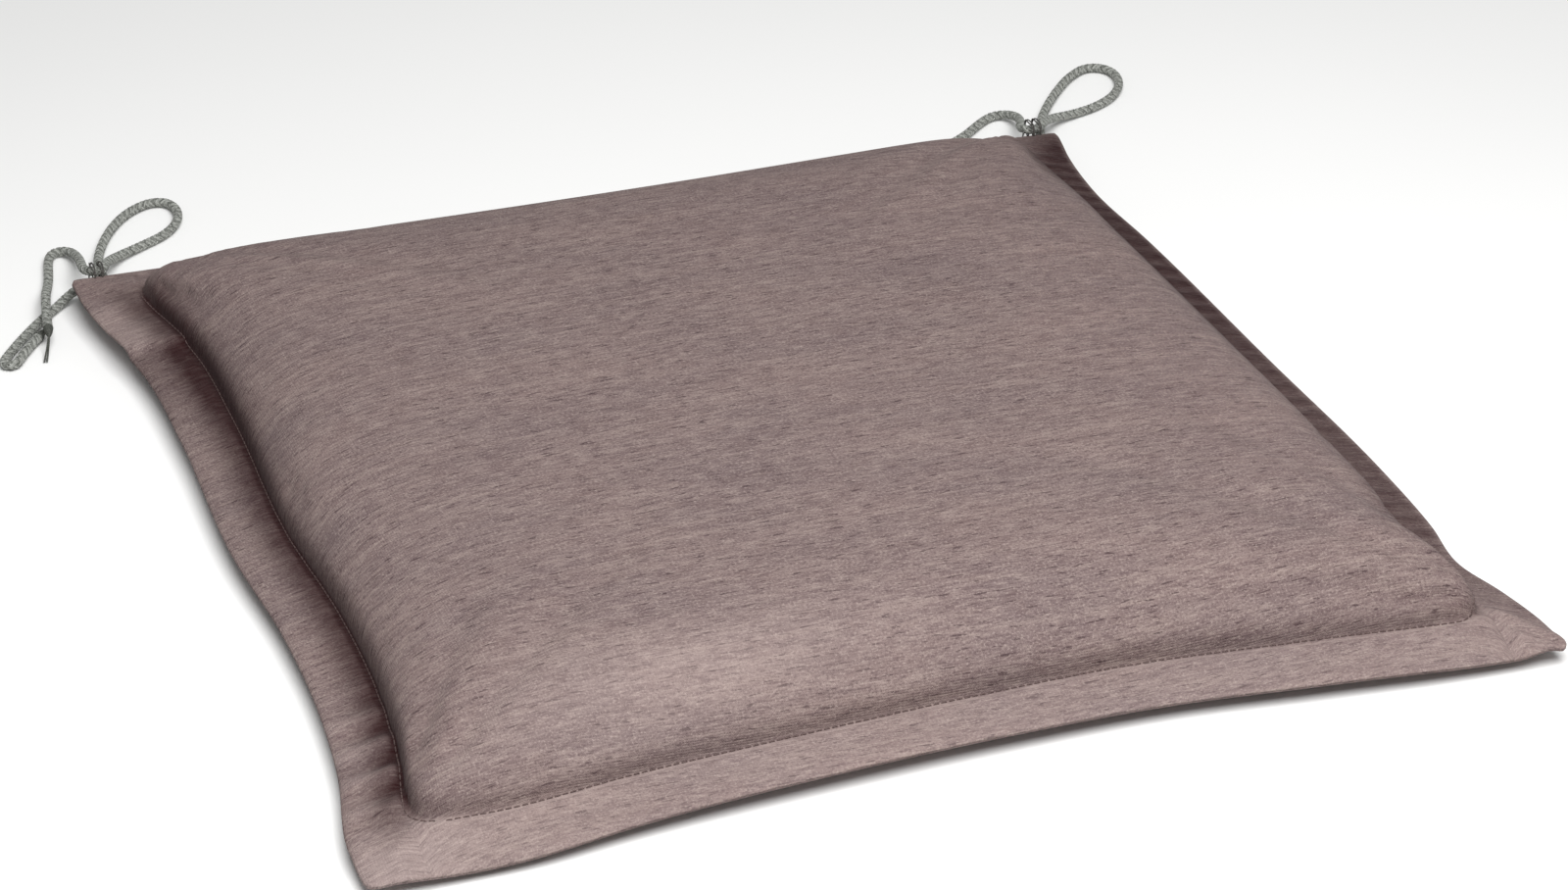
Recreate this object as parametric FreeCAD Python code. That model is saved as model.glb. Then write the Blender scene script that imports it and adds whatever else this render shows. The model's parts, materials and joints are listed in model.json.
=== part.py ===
"""Chair seat pad, 480 x 500 x 50 mm, with a flat flange and a tie cord at each rear corner.

Two fabric panels hold a foam core between two layers of wadding.  A topstitch closes them round the
filling, and what lies outside it is the flange, which slopes down to its outer edge.  Each tie is one
braided cord sewn to the rear edge, with two free tails that lie on the surface the pad rests on.

Frame: origin at the centre of the underside, +Z up, +X across the seat, +Y towards the rear edge.
Millimetres.  Each sub-part is written to parts/NAME.step.
"""
import FreeCAD
import Part
import math
import os

Vector = FreeCAD.Vector

# ---------------------------------------------------------------- driving dimensions
WIDTH = 480.0            # along X, corner to corner
DEPTH = 500.0            # along Y, corner to corner
HEIGHT = 50.0            # underside to crown
FLANGE = 24.0            # outer edge to topstitch, at the corners
FABRIC = 1.0             # thickness of one panel

EDGE_Z = 10.0            # height of the flange's middle surface at its outer edge
STITCH_Z = 18.0          # and at the topstitch
EDGE_BOW = {"side": 14.0, "front": 14.0, "rear": 5.0}      # how far each outer edge pulls in
STITCH_BOW = {"side": 8.0, "front": 8.0, "rear": 3.0}      # how far the topstitch pulls in
EDGE_CORNER = 5.0        # corner radius of the outer edge
STITCH_CORNER = 16.0     # corner radius of the topstitch

CROWN_RUN = 66.0         # inward run of the upper side from topstitch to crown
FOOT_RUN = 70.0          # inward run of the underside from topstitch to the flat foot
SECTIONS = 6             # loft sections of each side
OVERRUN = 0.4            # how far the flanks run past the flat faces that cut them off
CORNER_GROWTH = 0.6      # how much the corner radius grows for each millimetre inwards

FOAM_INSET = 28.0        # foam edge, in from the topstitch
FOAM_LOW = 9.0
FOAM_THICK = 28.0
FOAM_CORNER = 34.0

THREAD = 0.6             # sewing thread, drawn as a square section
SEAM_INSET = 2.0         # hidden edge seam, in from the outer edge
CLOSING_INSET = 4.0      # closing stitch, in from the rear edge
CLOSING_HALF = 130.0     # half the length of the closing stitch
TOPSTITCH_SHARE = 0.95   # where the topstitch lies, 0 at the outer edge to 1 at the panels' fold

CORD = 4.4               # tie cord diameter
TIP_LONG = 7.0           # whipped end of a tail
TIP_END = 1.5            # its diameter where the thread leaves it
TAIL_THREAD = 0.9        # thread left hanging from a tip
THREAD_START = 1.0       # how far inside the tip that thread starts

TACK_THREAD = 0.8
TACK_X = {"left_tie_tack": -227.7, "right_tie_tack": 224.9}
TACK_SHIFTS = (-1.4, 0.8)          # its two rings, beside the tack's middle
TACK_Y = (245.6, 256.6)            # from inside the flange to behind the cord
TACK_Z = (3.4, 17.8)               # from below the lower strand to over the upper one
TACK_CORNER = 2.4

# ---------------------------------------------------------------- routes of the tie cords
# Each tie is sewn along the rear edge.  Its loop tail leaves the stitches, makes the bow's loop, comes
# back over the stitches and runs out.  Its return tail leaves the other way and folds back on itself.
LEFT_LOOP_TAIL = [
    (-232.0, 252.9, 6.6), (-226.2, 252.9, 6.6), (-222.6, 258.2, 6.6), (-222.6, 269.2, 5.4),
    (-220.4, 285.4, 3.4), (-214.6, 303.0, 2.3), (-206.0, 319.6, 2.3), (-195.8, 332.2, 2.3),
    (-184.6, 339.0, 2.3), (-176.2, 336.6, 2.3), (-173.6, 326.6, 2.3), (-176.4, 314.2, 2.3),
    (-185.0, 302.8, 2.3), (-198.7, 294.6, 2.4), (-210.6, 285.8, 3.6), (-217.6, 273.4, 8.0),
    (-221.2, 263.8, 11.4), (-222.6, 257.2, 13.4), (-224.8, 252.7, 14.4), (-230.0, 252.7, 14.4),
    (-232.0, 257.3, 13.6), (-231.2, 266.2, 11.2), (-229.7, 278.8, 8.0), (-229.2, 289.4, 5.2),
    (-230.2, 297.0, 3.6), (-233.2, 301.6, 2.6), (-237.6, 301.4, 2.3), (-240.6, 297.0, 2.3),
    (-242.6, 288.2, 2.3), (-244.8, 276.2, 2.3), (-248.0, 264.4, 3.0), (-250.8, 252.6, 6.8),
    (-253.0, 241.0, 7.8), (-255.2, 229.0, 7.6), (-256.8, 218.0, 7.2),
]
LEFT_RETURN_TAIL = [
    (-232.0, 252.9, 6.6), (-236.4, 252.9, 6.6), (-241.0, 252.6, 4.0), (-247.4, 246.9, 2.3),
    (-256.8, 236.4, 2.3), (-265.6, 224.8, 2.3), (-272.2, 215.4, 2.3), (-276.8, 208.2, 2.3),
    (-280.5, 202.2, 2.3), (-278.9, 198.8, 2.3), (-275.1, 198.6, 2.3), (-271.6, 205.0, 2.3),
    (-266.2, 213.4, 2.3), (-260.8, 221.0, 2.3),
]
RIGHT_LOOP_TAIL = [
    (221.0, 252.9, 6.6), (226.8, 252.9, 6.6), (231.8, 257.4, 6.4), (236.2, 268.2, 4.8),
    (243.0, 283.2, 2.9), (252.4, 297.8, 2.3), (263.2, 311.8, 2.3), (275.2, 325.2, 2.3),
    (288.4, 334.2, 2.3), (298.6, 327.2, 2.3), (297.4, 311.6, 2.3), (288.0, 297.6, 2.3),
    (274.6, 288.6, 2.3), (260.2, 284.0, 2.4), (247.8, 278.0, 5.0), (239.0, 267.2, 9.6),
    (233.8, 259.8, 12.0), (230.6, 254.8, 13.4), (227.4, 251.4, 13.8), (222.8, 251.2, 13.8),
    (220.8, 255.2, 13.4), (222.4, 260.6, 12.2), (226.2, 269.0, 10.0), (229.6, 279.2, 7.0),
    (230.2, 288.6, 4.4), (227.4, 294.4, 2.8), (221.0, 295.2, 2.3), (211.8, 288.2, 2.3),
    (200.6, 277.8, 2.3), (187.0, 269.8, 2.3), (172.4, 266.2, 2.3), (157.0, 265.6, 2.3),
]
RIGHT_RETURN_TAIL = [
    (221.0, 252.9, 6.6), (216.6, 252.9, 6.6), (211.4, 255.2, 3.6), (203.6, 258.4, 2.3),
    (193.0, 259.4, 2.3), (181.8, 259.0, 2.3), (170.4, 257.6, 2.3), (162.0, 257.2, 2.3),
    (154.4, 257.4, 2.3), (150.5, 257.8, 2.3), (148.5, 254.6, 2.3), (150.3, 251.3, 2.3),
    (155.8, 250.8, 2.3), (164.4, 251.8, 2.3), (176.4, 252.8, 2.3),
]
ROUND_SHARE = 0.45       # share of the shorter run that a bend in a cord takes up


# ---------------------------------------------------------------- outlines and envelopes
def outline(half_x, half_y, bow, corner, z):
    """Closed wire of four inward-bowed sides with rounded corners."""
    front_left = Vector(-half_x, -half_y, z)
    front_right = Vector(half_x, -half_y, z)
    rear_right = Vector(half_x, half_y, z)
    rear_left = Vector(-half_x, half_y, z)
    front = Part.Arc(front_left, Vector(0, -half_y + bow["front"], z), front_right)
    right = Part.Arc(front_right, Vector(half_x - bow["side"], 0, z), rear_right)
    rear = Part.Arc(rear_right, Vector(0, half_y - bow["rear"], z), rear_left)
    left = Part.Arc(rear_left, Vector(-half_x + bow["side"], 0, z), front_left)
    sharp = Part.Wire([arc.toShape() for arc in (front, right, rear, left)])
    block = Part.Face(sharp).extrude(Vector(0, 0, HEIGHT))
    upright = [e for e in block.Edges if e.BoundBox.ZLength > HEIGHT / 2]
    rounded = block.makeFillet(corner, upright)
    base = min(rounded.Faces, key=lambda face: (face.CenterOfMass.z, face.BoundBox.ZLength))
    return base.OuterWire


def flange_outline(share, z):
    """Outline within the flange: share 0 is its outer edge, share 1 the fold at the topstitch."""
    bow = {k: EDGE_BOW[k] + share * (STITCH_BOW[k] - EDGE_BOW[k]) for k in EDGE_BOW}
    corner = EDGE_CORNER + share * (STITCH_CORNER - EDGE_CORNER)
    inset = share * FLANGE
    return outline(WIDTH / 2 - inset, DEPTH / 2 - inset, bow, corner, z)


def body_outline(inset, corner, z):
    """Outline of the filled body, inset from the fold at the topstitch."""
    return outline(WIDTH / 2 - FLANGE - inset, DEPTH / 2 - FLANGE - inset, STITCH_BOW, corner, z)


def side_volume(run, rise, skin):
    """Filled side of the pad from the topstitch plane: quarter-ellipse flanks cut off by a flat face.

    run is the inward run, rise the height (negative for the underside), skin the fabric left out.
    """
    reach = math.copysign(abs(rise) + OVERRUN - skin, rise)
    wires = []
    for i in range(SECTIONS + 1):
        angle = math.pi / 2 * i / SECTIONS
        inset = skin + (run - skin) * (1 - math.cos(angle))
        z = STITCH_Z + reach * math.sin(angle)
        wires.append(body_outline(inset, STITCH_CORNER + CORNER_GROWTH * inset, z))
    between = Part.makeBox(WIDTH, DEPTH, HEIGHT - 2 * skin, Vector(-WIDTH / 2, -DEPTH / 2, skin))
    return Part.makeLoft(wires, True, False).common(between)


def under_flange(offset):
    """Everything below the flange's middle surface moved up by offset, to a level below the pad."""
    return Part.makeLoft([
        flange_outline(0.0, -EDGE_Z),
        flange_outline(0.0, EDGE_Z + offset),
        flange_outline(1.0, STITCH_Z + offset),
    ], True, True)


def flange_layer(low, high):
    """Skin between two offsets of the flange's middle surface."""
    return under_flange(high).cut(under_flange(low))


def stitch_band(share, width):
    """Upright band of the given width that follows an outline of the flange."""
    up = Vector(0, 0, HEIGHT)
    outer = Part.Face(flange_outline(share, 0.0)).extrude(up)
    inner = Part.Face(flange_outline(share + width / FLANGE, 0.0)).extrude(up)
    return outer.cut(inner)


# ---------------------------------------------------------------- fabric, filling and threads
def tack_rings(x):
    """Two thread rings that hold a cord to the rear edge, round both strands and the flange."""
    rings = []
    deep = TACK_Y[1] - TACK_Y[0]
    tall = TACK_Z[1] - TACK_Z[0]
    for shift in TACK_SHIFTS:
        corner = Vector(x + shift, TACK_Y[0], TACK_Z[0])
        outer = Part.makeBox(TACK_THREAD, deep, tall, corner)
        along_x = [e for e in outer.Edges if e.BoundBox.XLength > TACK_THREAD / 2]
        inner = Part.makeBox(TACK_THREAD, deep - 2 * TACK_THREAD, tall - 2 * TACK_THREAD,
                             corner + Vector(0, TACK_THREAD, TACK_THREAD))
        rings.append(outer.makeFillet(TACK_CORNER, along_x).cut(inner))
    return Part.makeCompound(rings)


def edge_seam():
    """Seam that joins the panels inside the outer edge."""
    share = SEAM_INSET / FLANGE
    band = stitch_band(share, THREAD)
    return band.common(flange_layer(-THREAD / 2, THREAD / 2))


def topstitch(upper):
    """One thread of the lockstitch round the filling: the needle thread above, the bobbin below."""
    band = stitch_band(TOPSTITCH_SHARE, THREAD)
    if upper:
        return band.common(flange_layer(FABRIC, FABRIC + THREAD))
    return band.common(flange_layer(-FABRIC - THREAD, -FABRIC))


def closing_stitch():
    """Straight stitch that closes the filling opening in the middle of the rear edge."""
    band = stitch_band(CLOSING_INSET / FLANGE, THREAD)
    span = Part.makeBox(2 * CLOSING_HALF, DEPTH, HEIGHT, Vector(-CLOSING_HALF, 0, 0))
    above = flange_layer(FABRIC, FABRIC + THREAD)
    below = flange_layer(-FABRIC - THREAD, -FABRIC)
    strip = band.common(span)
    return Part.makeCompound([strip.common(above), strip.common(below)])


def pad_pieces():
    """Panels, filling and sewing threads."""
    upper_outer = side_volume(CROWN_RUN, HEIGHT - STITCH_Z, 0.0)
    upper_inner = side_volume(CROWN_RUN, HEIGHT - STITCH_Z, FABRIC)
    lower_outer = side_volume(FOOT_RUN, -STITCH_Z, 0.0)
    lower_inner = side_volume(FOOT_RUN, -STITCH_Z, FABRIC)
    foam = Part.Face(body_outline(FOAM_INSET, FOAM_CORNER, FOAM_LOW)).extrude(Vector(0, 0, FOAM_THICK))
    seam = edge_seam()
    tacks = {name: tack_rings(x) for name, x in TACK_X.items()}
    top = flange_layer(0.0, FABRIC).fuse(upper_outer).cut(upper_inner).cut(seam)
    bottom = flange_layer(-FABRIC, 0.0).fuse(lower_outer).cut(lower_inner).cut(seam)
    for tack in tacks.values():
        top = top.cut(tack)
        bottom = bottom.cut(tack)
    pieces = {
        "top_panel": top,
        "bottom_panel": bottom,
        "foam_core": foam,
        "upper_wadding": upper_inner.cut(foam),
        "lower_wadding": lower_inner.cut(foam),
        "edge_seam_thread": seam,
        "topstitch_needle_thread": topstitch(True),
        "topstitch_bobbin_thread": topstitch(False),
        "closing_stitch_thread": closing_stitch(),
    }
    pieces.update(tacks)
    return pieces


# ---------------------------------------------------------------- tie cords
def rounded_path(points, name):
    """Straight runs joined by tangent arcs, and the smallest arc radius."""
    edges = []
    start = points[0]
    radii = []
    for before, corner, after in zip(points, points[1:], points[2:]):
        run_in = corner - before
        run_out = after - corner
        turn = run_in.getAngle(run_out)
        reach = ROUND_SHARE * min(run_in.Length, run_out.Length)
        radius = reach / math.tan(turn / 2)
        radii.append(radius)
        arc_start = corner - run_in.normalize() * reach
        arc_end = corner + run_out.normalize() * reach
        towards_centre = (run_out - run_in).normalize()
        centre_reach = radius / math.cos(turn / 2)
        middle = corner + towards_centre * (centre_reach - radius)
        edges.append(Part.LineSegment(start, arc_start).toShape())
        edges.append(Part.Arc(arc_start, middle, arc_end).toShape())
        start = arc_end
    edges.append(Part.LineSegment(start, points[-1]).toShape())
    print(name, "radii", " ".join("%.1f" % r for r in radii))
    return Part.Wire(edges)


def cord_tube(route, name):
    """Round tube of the cord's diameter along a route."""
    points = [Vector(*p) for p in route]
    path = rounded_path(points, name)
    section = Part.Wire(Part.makeCircle(CORD / 2, points[0], points[1] - points[0]))
    tube = path.makePipeShell([section], True, False)
    share = tube.Volume / (math.pi * CORD ** 2 / 4 * path.Length)
    print(name, "length %.1f mm" % path.Length)
    print(name, "volume %.4f of section times length" % share)
    return tube


def whipped_tip(route, thread_end):
    """Tapered, thread-bound end of a tail, with the spare thread where one is left."""
    end = Vector(*route[-1])
    along = (end - Vector(*route[-2])).normalize()
    tip = Part.makeCone(CORD / 2, TIP_END / 2, TIP_LONG, end, along)
    if thread_end is None:
        return tip
    start = end + along * (TIP_LONG - THREAD_START)
    run = Vector(*thread_end) - start
    return tip.fuse(Part.makeCylinder(TAIL_THREAD / 2, run.Length, start, run))


def tie_pieces():
    """Tails and tips of both ties."""
    tails = {
        "left_tie_loop_tail": (LEFT_LOOP_TAIL, (-262.2, 200.0, 0.6)),
        "left_tie_return_tail": (LEFT_RETURN_TAIL, None),
        "right_tie_loop_tail": (RIGHT_LOOP_TAIL, None),
        "right_tie_return_tail": (RIGHT_RETURN_TAIL, None),
    }
    pieces = {}
    for name, (route, thread_end) in tails.items():
        pieces[name] = cord_tube(route, name)
        pieces[name.replace("_tail", "_tip")] = whipped_tip(route, thread_end)
    return pieces


os.makedirs("parts", exist_ok=True)
for name, shape in {**pad_pieces(), **tie_pieces()}.items():
    print(name, "solids", len(shape.Solids), "valid", shape.isValid(), "volume %.0f mm3" % shape.Volume)
    shape.exportStep(os.path.join("parts", name + ".step"))
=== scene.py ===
"""Looks of the chair seat pad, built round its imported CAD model.

Metres, in the model's frame: origin at the centre of the underside, +Z up, +Y towards the rear edge.
"""
import json
import math

import bpy
import numpy as np
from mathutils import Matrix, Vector
from mathutils.bvhtree import BVHTree

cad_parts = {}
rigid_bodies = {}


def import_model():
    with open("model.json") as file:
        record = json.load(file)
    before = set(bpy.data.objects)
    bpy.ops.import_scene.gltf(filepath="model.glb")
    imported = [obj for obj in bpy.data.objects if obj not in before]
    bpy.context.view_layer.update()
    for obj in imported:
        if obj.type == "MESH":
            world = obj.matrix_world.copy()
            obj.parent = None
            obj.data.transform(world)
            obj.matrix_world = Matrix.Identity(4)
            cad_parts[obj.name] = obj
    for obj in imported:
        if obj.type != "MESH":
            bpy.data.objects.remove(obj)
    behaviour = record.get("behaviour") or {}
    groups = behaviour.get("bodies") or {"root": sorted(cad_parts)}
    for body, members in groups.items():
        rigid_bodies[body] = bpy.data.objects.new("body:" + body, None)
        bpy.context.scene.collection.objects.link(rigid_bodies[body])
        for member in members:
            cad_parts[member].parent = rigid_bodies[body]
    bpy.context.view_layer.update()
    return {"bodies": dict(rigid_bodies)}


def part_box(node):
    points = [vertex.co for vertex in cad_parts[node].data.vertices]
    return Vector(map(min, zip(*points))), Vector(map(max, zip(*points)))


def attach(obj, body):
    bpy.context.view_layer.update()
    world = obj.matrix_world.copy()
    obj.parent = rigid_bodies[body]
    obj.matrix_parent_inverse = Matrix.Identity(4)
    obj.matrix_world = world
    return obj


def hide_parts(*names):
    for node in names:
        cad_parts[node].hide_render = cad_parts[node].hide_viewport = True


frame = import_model()
BODY = list(frame["bodies"])[0]
MM = 0.001

# ---- sizes, in metres
HALF_X = 0.240  # outer edge at the corners
HALF_Y = 0.250
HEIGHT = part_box("top_panel")[1].z
FLANGE = 0.024  # outer edge to the fold at the topstitch
STITCH_INSET = 0.0228  # outer edge to the topstitch
EDGE_CORNER = 0.0045  # corner radius of the outer edge
# Corners in order: front left, front right, rear left, rear right.
SOFT_CORNER = (0.020, 0.010, 0.014, 0.014)
BODY_RUN = 0.065  # inward run of the top's flank
SOFT_FLANK = (2.4, 2.0)  # powers of the flank's profile at the front and rear
LEFT_FLANK = (2.7, 2.3)  # and at the boxier sides
RIGHT_FLANK = (3.1, 2.8)
REAR_EASE = 0.45  # how much softer the right side is towards the rear
SOFT_CORNERS = 0.050  # reach of the less filled corners
CORNER_RUN = 0.9  # how much longer the flank's run is at the slackest of them
SLACK = (0.75, 0.10, 0.10, 0.12)
FOOT_RUN = 0.070  # inward run of the underside's flank
CROWN = 0.004  # rise of the middle over the shoulders
LIP = 0.0014  # half the flange's thickness
CLOTH = 0.0008  # one fabric panel
CLEAR = 0.0003  # kept between layers that lie on each other
BILLOW = 0.11  # share of the simulated swelling that the filling lets through
FOLD_WIDTH = 0.018  # folds wider than about this count as swelling
FOLD_SHARE = 0.45  # share of the simulated folds that stays on the firm crown
FOLD_CAP = 0.003  # furthest that the simulation may move the cloth

RIGHT_GATHERS = 0.0128  # spacing of the puckers along the right topstitch
LEFT_GATHERS = 0.023
FOLD_AT = 0.169  # large fold of the left flange, towards the rear corner
FLANGE_TURN = 0.0025  # from the fold at the topstitch onto the flange

TOP_PITCH = 0.0032  # topstitch
SEAM_PITCH = 0.0030  # hidden and closing stitches
STITCH_GAP = 0.0006
STITCH_RADIUS = 0.0003
SEAM_INSET = 0.0026  # hidden edge seam, in from the outer edge
CLOSING_HALF = 0.130  # half the length of the closing stitch
RAY_HIGH, RAY_LOW = 0.08, -0.02  # heights that rays start from, above and below the pad

FILLING_INSET = FLANGE + 0.004
FLAT_FILLING = 0.0035  # the wadding lies flat this close to the topstitch
FOAM_COVER = 0.003  # least distance between foam and cover
FOAM_CORNER = 0.034  # its corner radius in plan
FOAM_EDGE = 0.003  # how far its edges are rounded off
WADDING_SINK = 0.0019  # wadding under the cover's outer surface
WADDING_GAP = 0.0004  # and clear of the foam and the parting plane

CORD = 0.0044  # tie cord diameter
TIP_LONG = 0.007
TIP_RADIUS = 0.00075
BRAID_PITCH = 0.0100  # one turn of a strand
BRAID_CENTRE = 0.00163  # from the cord's middle to its strands
BRAID_WEAVE = 0.00017  # how far the strands pass over and under
YARN_RADIUS = 0.00049
CORE_RADIUS = 0.0012
YARN_TONES = (0.25, 0.95, 0.62, 0.12, 0.88, 0.45, 0.75, 0.30)
TACK_TURNS = ((-0.0022, 0.0012), (-0.0008, -0.0016), (0.0009, 0.0020), (0.0022, -0.0009))
TACK_Y, TACK_Z = 0.2511, 0.0106  # middle of the tack's turns
TACK_HALF_Y, TACK_HALF_Z = 0.0056, 0.0074
TACK_RADIUS = 0.00034

# Inward pull of each outer edge, as (place along the edge, pull).
PULL_LEFT = [(-0.250, 0.0), (-0.225, 0.0), (-0.178, 0.0088), (-0.130, 0.0135), (-0.075, 0.0143),
             (-0.010, 0.0106), (0.090, 0.0130), (0.150, 0.0118), (0.190, 0.0060), (0.225, 0.0008),
             (0.250, 0.0)]
PULL_RIGHT = [(-0.250, -0.0022), (-0.228, -0.0018), (-0.205, 0.0028), (-0.180, 0.0098), (-0.150, 0.0068),
              (-0.100, 0.0050), (0.010, 0.0066), (0.130, 0.0086), (0.185, 0.0112), (0.225, 0.0075),
              (0.243, 0.0040), (0.250, 0.0030)]
PULL_FRONT = [(-0.240, 0.0), (-0.205, 0.0), (-0.172, 0.0004), (-0.140, 0.0046), (-0.060, 0.0106),
              (0.015, 0.0140), (0.080, 0.0138), (0.140, 0.0072), (0.190, 0.0022), (0.240, 0.0)]
PULL_REAR = [(-0.240, 0.0), (-0.200, 0.0010), (0.0, 0.0050), (0.190, 0.0010), (0.240, 0.0)]

# Height of the flange's middle surface at its outer edge, along each edge.
EDGE_LEFT = [(-0.250, 0.0069), (-0.170, 0.0082), (0.0, 0.0095), (0.150, 0.0105), (0.250, 0.0122)]
EDGE_RIGHT = [(-0.250, 0.0056), (-0.170, 0.0086), (0.0, 0.0090), (0.170, 0.0095), (0.250, 0.0100)]
EDGE_FRONT = [(-0.240, 0.0069), (-0.200, 0.0042), (-0.160, 0.0058), (-0.110, 0.0075), (0.100, 0.0075),
              (0.170, 0.0072), (0.212, 0.0060), (0.240, 0.0056)]
EDGE_REAR = [(-0.240, 0.0122), (-0.200, 0.0120), (0.0, 0.0095), (0.200, 0.0115), (0.240, 0.0100)]

STITCH_FRONT = 0.0120  # height of the topstitch in the middle of the front edge
STITCH_REAR = 0.0170

# ---- routes of the tie cords
LEFT_LOOP_TAIL = [
    (-0.2320, 0.2529, 0.0066), (-0.2262, 0.2529, 0.0066), (-0.2226, 0.2582, 0.0066),
    (-0.2226, 0.2692, 0.0054), (-0.2204, 0.2854, 0.0034), (-0.2146, 0.3030, 0.0023),
    (-0.2060, 0.3196, 0.0023), (-0.1958, 0.3322, 0.0023), (-0.1846, 0.3390, 0.0023),
    (-0.1762, 0.3366, 0.0023), (-0.1736, 0.3266, 0.0023), (-0.1764, 0.3142, 0.0023),
    (-0.1850, 0.3028, 0.0023), (-0.1987, 0.2946, 0.0024), (-0.2106, 0.2858, 0.0036),
    (-0.2176, 0.2734, 0.0080), (-0.2212, 0.2638, 0.0114), (-0.2226, 0.2572, 0.0134),
    (-0.2248, 0.2527, 0.0144), (-0.2300, 0.2527, 0.0144), (-0.2320, 0.2573, 0.0136),
    (-0.2312, 0.2662, 0.0112), (-0.2297, 0.2788, 0.0080), (-0.2292, 0.2894, 0.0052),
    (-0.2302, 0.2970, 0.0036), (-0.2332, 0.3016, 0.0026), (-0.2376, 0.3014, 0.0023),
    (-0.2406, 0.2970, 0.0023), (-0.2426, 0.2882, 0.0023), (-0.2448, 0.2762, 0.0023),
    (-0.2480, 0.2644, 0.0030), (-0.2508, 0.2526, 0.0068), (-0.2530, 0.2410, 0.0078),
    (-0.2552, 0.2290, 0.0076), (-0.2568, 0.2180, 0.0072),
]
LEFT_RETURN_TAIL = [
    (-0.2320, 0.2529, 0.0066), (-0.2364, 0.2529, 0.0066), (-0.2410, 0.2526, 0.0040),
    (-0.2474, 0.2469, 0.0023), (-0.2568, 0.2364, 0.0023), (-0.2656, 0.2248, 0.0023),
    (-0.2722, 0.2154, 0.0023), (-0.2768, 0.2082, 0.0023), (-0.2805, 0.2022, 0.0023),
    (-0.2789, 0.1988, 0.0023), (-0.2751, 0.1986, 0.0023), (-0.2716, 0.2050, 0.0023),
    (-0.2662, 0.2134, 0.0023), (-0.2608, 0.2210, 0.0023),
]
RIGHT_LOOP_TAIL = [
    (0.2210, 0.2529, 0.0066), (0.2268, 0.2529, 0.0066), (0.2318, 0.2574, 0.0064), (0.2362, 0.2682, 0.0048),
    (0.2430, 0.2832, 0.0029), (0.2524, 0.2978, 0.0023), (0.2632, 0.3118, 0.0023), (0.2752, 0.3252, 0.0023),
    (0.2884, 0.3342, 0.0023), (0.2986, 0.3272, 0.0023), (0.2974, 0.3116, 0.0023), (0.2880, 0.2976, 0.0023),
    (0.2746, 0.2886, 0.0023), (0.2602, 0.2840, 0.0024), (0.2478, 0.2780, 0.0050), (0.2390, 0.2672, 0.0096),
    (0.2338, 0.2598, 0.0120), (0.2306, 0.2548, 0.0134), (0.2274, 0.2514, 0.0138), (0.2228, 0.2512, 0.0138),
    (0.2208, 0.2552, 0.0134), (0.2224, 0.2606, 0.0122), (0.2262, 0.2690, 0.0100), (0.2296, 0.2792, 0.0070),
    (0.2302, 0.2886, 0.0044), (0.2274, 0.2944, 0.0028), (0.2210, 0.2952, 0.0023), (0.2118, 0.2882, 0.0023),
    (0.2006, 0.2778, 0.0023), (0.1870, 0.2698, 0.0023), (0.1724, 0.2662, 0.0023), (0.1570, 0.2656, 0.0023),
]
RIGHT_RETURN_TAIL = [
    (0.2210, 0.2529, 0.0066), (0.2166, 0.2529, 0.0066), (0.2114, 0.2552, 0.0036), (0.2036, 0.2584, 0.0023),
    (0.1930, 0.2594, 0.0023), (0.1818, 0.2590, 0.0023), (0.1704, 0.2576, 0.0023), (0.1620, 0.2572, 0.0023),
    (0.1544, 0.2574, 0.0023), (0.1505, 0.2578, 0.0023), (0.1485, 0.2546, 0.0023), (0.1503, 0.2513, 0.0023),
    (0.1558, 0.2508, 0.0023), (0.1644, 0.2518, 0.0023), (0.1764, 0.2528, 0.0023),
]
TAILS = {  # name: route, real length, where the spare thread of its tip ends
    "left_tie_loop": (LEFT_LOOP_TAIL, 0.364, (-0.2622, 0.2000, 0.0006)),
    "left_tie_return": (LEFT_RETURN_TAIL, 0.107, None),
    "right_tie_loop": (RIGHT_LOOP_TAIL, 0.360, None),
    "right_tie_return": (RIGHT_RETURN_TAIL, 0.105, None),
}
TACK_X = {"left": -0.2277, "right": 0.2249}


# ---- helpers
def link(obj):
    bpy.context.scene.collection.objects.link(obj)
    return obj


def mesh_object(name, verts, faces, smooth=True):
    """Object of a mesh given as point and face arrays."""
    mesh = bpy.data.meshes.new(name)
    mesh.from_pydata(np.asarray(verts, float).tolist(), [], [tuple(f) for f in faces])
    mesh.update()
    if smooth:
        mesh.shade_smooth()
    return link(bpy.data.objects.new(name, mesh))


def point_field(obj, name, values):
    """Store one number, or one vector, per point of a mesh."""
    values = np.asarray(values, np.float32)
    kind, key = ("FLOAT_VECTOR", "vector") if values.ndim == 2 else ("FLOAT", "value")
    obj.data.attributes.new(name, kind, "POINT").data.foreach_set(key, values.ravel())


def rim_mask(rows, columns):
    """True at the outermost points of a grid."""
    edge = np.zeros((rows, columns), bool)
    edge[[0, -1], :] = True
    edge[:, [0, -1]] = True
    return edge


def unit(vectors):
    """Vectors of length 1."""
    return vectors / np.linalg.norm(vectors, axis=-1, keepdims=True)


def finish_piece(obj, material, slot, *nodes):
    """Give a piece its material, let it ride, and hide the CAD nodes it stands for. The slot is not used.
    """
    obj.data.materials.clear()
    obj.data.materials.append(material)
    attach(obj, BODY)
    if nodes:
        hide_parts(*nodes)
    return obj


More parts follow.
